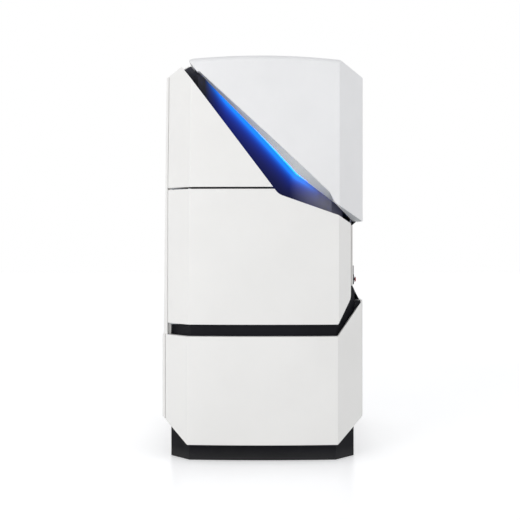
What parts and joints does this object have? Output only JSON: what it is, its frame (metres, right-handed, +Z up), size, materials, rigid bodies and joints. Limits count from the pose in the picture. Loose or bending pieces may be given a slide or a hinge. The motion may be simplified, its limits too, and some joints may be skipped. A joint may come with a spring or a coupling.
{
  "type": "scanning electron microscope",
  "caption": "Tall enclosed electron microscope: bowed faceted covers, a proud upper hood over a lit diagonal recess, a load-lock niche in the side, rear service doors and working inner parts.",
  "frame": {"origin": "centre of the footprint on the floor", "axes": "+Z up, -Y towards the person in front of the instrument, +X to the right of that person"},
  "size_m": [1.216, 1.5, 2.4],
  "materials": {
    "white_paint": "fine satin white",
    "dark_paint": "satin near black",
    "frame_paint": "matte grey powder coat",
    "machined_aluminium": "machined, fine satin",
    "brushed_steel": "turned stainless steel",
    "rubber": "matte black",
    "hose": "matte grey",
    "black_plastic": "fine grained",
    "red_plastic": "glossy red",
    "blue_diffuser": "frosted, lit blue",
    "unit_paint": "matte light grey",
    "grille_paint": "satin light grey",
    "glass": "clear"
  },
  "bodies": {
    "cabinet": {"air_springs": "rubber", "backing_line": "hose", "base_tray": "frame_paint", "beam_splitter": "brushed_steel", "cable_gland": "black_plastic", "cover_brackets": "frame_paint", "door_hinges": "frame_paint", "electron_source": "brushed_steel", "exhaust_port": "brushed_steel", "fan_frames": "black_plastic", "frame": "frame_paint", "front_flange": "machined_aluminium", "gap_liners": "dark_paint", "gate_valve_body": "machined_aluminium", "hood": "white_paint", "illumination_column": "brushed_steel", "ion_pumps": "brushed_steel", "left_side_panel": "white_paint", "levelling_feet": "brushed_steel", "light_bar": "machined_aluminium", "light_diffuser": "blue_diffuser", "load_lock": "machined_aluminium", "lower_bay_units": "unit_paint", "lower_front_cover": "white_paint", "multi_detector": "machined_aluminium", "niche_slopes": "dark_paint", "niche_wall": "white_paint", "objective_lens": "brushed_steel", "plinth_skirt": "dark_paint", "power_inlet": "black_plastic", "projection_column": "brushed_steel", "rack_rails": "frame_paint", "rack_units": "unit_paint", "rear_fixed_panels": "white_paint", "recess_channel": "dark_paint", "right_lower_side_panel": "white_paint", "right_upper_side_panel": "white_paint", "roof_cover": "white_paint", "roof_vent_grille": "grille_paint", "stage_base": "brushed_steel", "stop_housing": "black_plastic", "table_plate": "machined_aluminium", "turbo_pump": "brushed_steel", "upper_left_cover": "white_paint", "vacuum_chamber": "machined_aluminium", "viewport_glass": "glass"},
    "service_door": {"service_door": "white_paint"},
    "rear_door_left": {"rear_door_left": "white_paint"},
    "rear_door_right": {"rear_door_right": "white_paint"},
    "rear_latch": {"rear_latch_handle": "black_plastic"},
    "load_lock_door": {"load_lock_door": "machined_aluminium"},
    "load_lock_latch": {"load_lock_latch": "black_plastic"},
    "stop_plunger": {"stop_plunger": "brushed_steel"},
    "stop_cap": {"stop_cap": "red_plastic"},
    "gate_blade": {"gate_blade": "brushed_steel"},
    "stage_x": {"stage_x_carriage": "machined_aluminium"},
    "stage_y": {"stage_y_carriage": "machined_aluminium"},
    "turntable": {"turntable": "brushed_steel"},
    "fan_left": {"fan_rotor_left": "black_plastic"},
    "fan_right": {"fan_rotor_right": "black_plastic"}
  },
  "joints": [
    {"name": "service_door_hinge", "type": "hinge", "parent": "cabinet", "child": "service_door", "pos_m": [-0.5475, -0.59906, 1.2], "axis": [0, 0, 1], "range_deg": [-100, 0]},
    {"name": "rear_door_left_hinge", "type": "hinge", "parent": "cabinet", "child": "rear_door_left", "pos_m": [-0.5415, 0.718, 1.2], "axis": [0, 0, 1], "range_deg": [0, 110]},
    {"name": "rear_door_right_hinge", "type": "hinge", "parent": "cabinet", "child": "rear_door_right", "pos_m": [0.5415, 0.718, 1.2], "axis": [0, 0, 1], "range_deg": [-110, 0]},
    {"name": "rear_latch_turn", "type": "hinge", "parent": "rear_door_right", "child": "rear_latch", "pos_m": [0.048, 0.73, 1.18], "axis": [0, 1, 0], "range_deg": [0, 90]},
    {"name": "load_lock_hinge", "type": "hinge", "parent": "cabinet", "child": "load_lock_door", "pos_m": [0.56, 0.064, 1.13], "axis": [0, 0, 1], "range_deg": [0, 100]},
    {"name": "load_lock_latch_turn", "type": "hinge", "parent": "load_lock_door", "child": "load_lock_latch", "pos_m": [0.575, -0.21, 1.13], "axis": [1, 0, 0], "range_deg": [0, 90]},
    {"name": "stop_push", "type": "slide", "parent": "cabinet", "child": "stop_plunger", "axis": [-1, 0, 0], "range_m": [0, 0.005], "stiffness_N_per_m": 2000, "springref_m": -0.002},
    {"name": "stop_twist", "type": "hinge", "parent": "stop_plunger", "child": "stop_cap", "pos_m": [0.56, -0.563, 1.071], "axis": [1, 0, 0], "range_deg": [0, 45], "stiffness_Nm_per_rad": 0.1, "springref_deg": -5.73},
    {"name": "gate_close", "type": "slide", "parent": "cabinet", "child": "gate_blade", "axis": [0, 0, -1], "range_m": [0, 0.07]},
    {"name": "stage_x_travel", "type": "slide", "parent": "cabinet", "child": "stage_x", "axis": [1, 0, 0], "range_m": [-0.04, 0.04]},
    {"name": "stage_y_travel", "type": "slide", "parent": "stage_x", "child": "stage_y", "axis": [0, 1, 0], "range_m": [-0.035, 0.035]},
    {"name": "turntable_turn", "type": "hinge", "parent": "stage_y", "child": "turntable", "pos_m": [0, -0.1, 0.98], "axis": [0, 0, 1], "continuous": true},
    {"name": "fan_left_spin", "type": "hinge", "parent": "cabinet", "child": "fan_left", "pos_m": [-0.17, 0.43, 2.25], "axis": [0, 0, 1], "continuous": true},
    {"name": "fan_right_spin", "type": "hinge", "parent": "cabinet", "child": "fan_right", "pos_m": [0.17, 0.43, 2.25], "axis": [0, 0, 1], "continuous": true}
  ]
}
